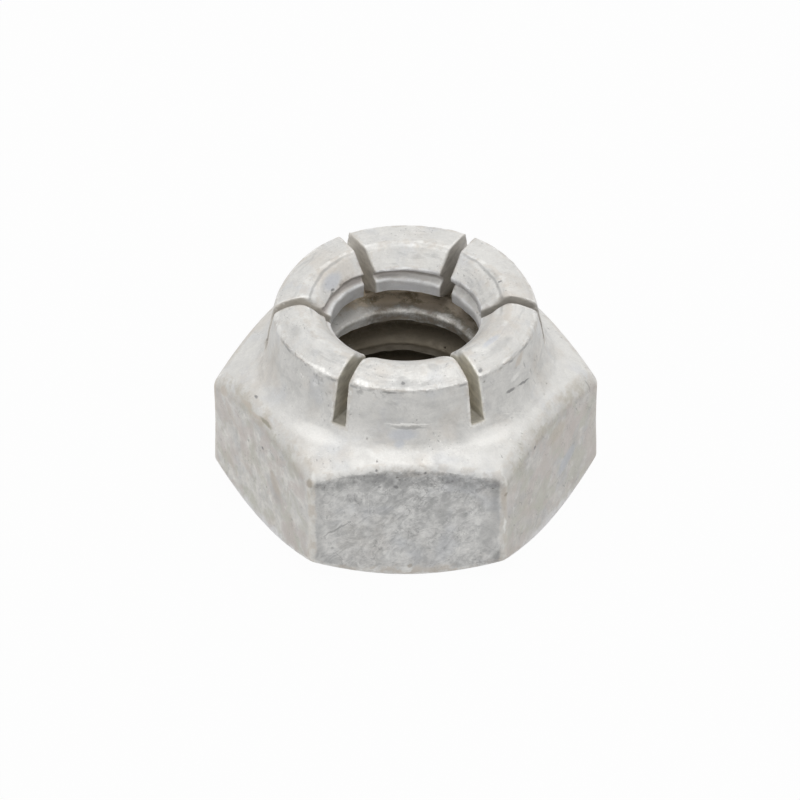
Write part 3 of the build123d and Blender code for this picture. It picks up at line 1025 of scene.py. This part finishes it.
def plated_steel():
    """Dull plated steel with worn pale edges, and brown stains deep in the thread."""
    mat = Shading("plated_steel")
    coordinates = mat.add("TexCoord", {}, 3)
    place = mat.add("VectorMath", {0: coordinates, "Scale": 1 / MM}, operation="SCALE")
    x, y, z = (mat.axis(place, k) for k in range(3))
    radius = mat.math("SQRT", mat.plus(mat.times(x, x), mat.times(y, y)))
    around = mat.times(mat.math("ARCTAN2", y, x), 4.0)
    polar = mat.add("CombineXYZ", {0: around, 1: radius, 2: z})
    zones = SimpleNamespace(**{name: mat.zone(name) for name in ZONES})

    colour = plating(mat, place, zones)
    colour = turning_marks(mat, polar, zones, colour)
    colour = scuffs(mat, place, colour)
    colour = pitting(mat, place, zones, colour)
    colour = veins(mat, place, zones, colour)
    colour = edge_wear_and_hollow_highlight(mat, place, zones, colour)
    colour = rims(mat, place, zones, colour)
    colour = corners(mat, place, zones, colour)
    colour = crown_line(mat, place, polar, colour)
    colour = lip_line(mat, place, zones, colour)
    colour = marks(mat, place, colour)
    colour = slot_walls(mat, place, zones, colour)
    colour = bore_stains_and_painted_light(mat, place, polar, zones, colour)
    grain = mat.noise(place, 0.07, 2.0, 0.7)
    colour = mat.shade(colour, mat.ramp(grain, 0.25, 0.75, 0.965, 1.035))
    mat.plug(mat.shader.inputs["Base Color"], colour)

    rough = mat.ramp(mat.noise(place, 0.3, 3.0, 0.6), 0.3, 0.7, *ROUGHNESS)
    mat.plug(mat.shader.inputs["Roughness"], rough)
    mat.shader.inputs["Metallic"].default_value = METALLIC
    mat.raise_by(mat.times(grain, 0.0018))
    mat.raise_by(mat.times(mat.noise(place, 0.3, 3.0, 0.55), 0.016))
    bump = {"Height": mat.plus(*mat.reliefs), "Strength": BUMP_STRENGTH, "Distance": MM}
    mat.plug(mat.shader.inputs["Normal"], mat.add("Bump", bump))
    return mat.material


LAMP_SIZE = 150
LAMP_AIM = (0, 0, 3)
LAMPS = (
    ("top", (0, 0, 185), 0.11),
    ("back", (100, 130, 110), 0.022),
    ("left", (-120, -80, 120), 0.022),
)
WORLD_LIGHT = 0.68
FLOOR_REACH = 1.5  # in metres
FLOOR_GREY = (0.5, 0.5, 0.5, 1)
FLOOR_WHITE_SHARE = 0.97  # the rest shows the shadow


def area_light(name, place, power):
    """A large soft lamp that looks at the nut."""
    data = bpy.data.lights.new(name, "AREA")
    data.shape = "DISK"
    data.size = LAMP_SIZE * MM
    data.energy = power
    light = bpy.data.objects.new(name, data)
    light.location = Vector(place) * MM
    light.rotation_euler = (Vector(LAMP_AIM) - Vector(place)).to_track_quat("-Z", "Y").to_euler()
    bpy.context.scene.collection.objects.link(light)


def seen_white(tree):
    """1 for the rays that see the white surroundings: camera, glossy and transmission rays."""
    path = tree.nodes.new("ShaderNodeLightPath")
    seen = path.outputs["Is Camera Ray"]
    for name in ("Is Glossy Ray", "Is Transmission Ray"):
        either = tree.nodes.new("ShaderNodeMath")
        either.operation = "MAXIMUM"
        tree.links.new(seen, either.inputs[0])
        tree.links.new(path.outputs[name], either.inputs[1])
        seen = either.outputs[0]
    return seen


def world():
    """White surroundings, which give less light than they show."""
    made = bpy.data.worlds.new("world")
    made.use_nodes = True
    tree = made.node_tree
    background = tree.nodes["Background"]
    background.inputs["Color"].default_value = (1, 1, 1, 1)
    strength = tree.nodes.new("ShaderNodeMapRange")
    strength.inputs["To Min"].default_value = WORLD_LIGHT
    tree.links.new(seen_white(tree), strength.inputs["Value"])
    tree.links.new(strength.outputs[0], background.inputs["Strength"])
    bpy.context.scene.world = made


def floor():
    """White ground that keeps the nut's shadow."""
    mesh = bpy.data.meshes.new("floor")
    sides = ((-1, -1), (1, -1), (1, 1), (-1, 1))
    mesh.from_pydata([(x * FLOOR_REACH, y * FLOOR_REACH, 0) for x, y in sides], [], [(0, 1, 2, 3)])
    made = bpy.data.objects.new("floor", mesh)
    bpy.context.scene.collection.objects.link(made)
    material = bpy.data.materials.new("floor")
    material.use_nodes = True
    tree = material.node_tree
    tree.nodes.clear()
    output = tree.nodes.new("ShaderNodeOutputMaterial")
    diffuse = tree.nodes.new("ShaderNodeBsdfDiffuse")
    diffuse.inputs["Color"].default_value = FLOOR_GREY
    glow = tree.nodes.new("ShaderNodeEmission")
    mix = tree.nodes.new("ShaderNodeMixShader")
    share = tree.nodes.new("ShaderNodeMath")
    share.operation = "MULTIPLY"
    share.inputs[1].default_value = FLOOR_WHITE_SHARE
    tree.links.new(seen_white(tree), share.inputs[0])
    tree.links.new(share.outputs[0], mix.inputs[0])
    tree.links.new(diffuse.outputs[0], mix.inputs[1])
    tree.links.new(glow.outputs[0], mix.inputs[2])
    tree.links.new(mix.outputs[0], output.inputs["Surface"])
    mesh.materials.append(material)


# The box to mesh. Then the size of a cell, and how far a point that joins cells may be off
NUT_LOW, NUT_HIGH = (-6.4, -5.6, 0), (6.4, 5.6, 7.25)
COARSE, FINE = (0.1, 0.004), (0.055, 0.0016)

cell, tolerance = FINE
points, faces = mesh_of(nut, NUT_LOW, NUT_HIGH, cell, tolerance)
piece = mesh_object("nut_metal", points, faces)
mark_zones(piece.data)
piece.data.materials.append(plated_steel())
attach(piece, "root")
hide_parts("lock_nut")

camera()
world()
floor()
for lamp in LAMPS:
    area_light(*lamp)
bpy.context.scene.view_settings.view_transform = "Standard"
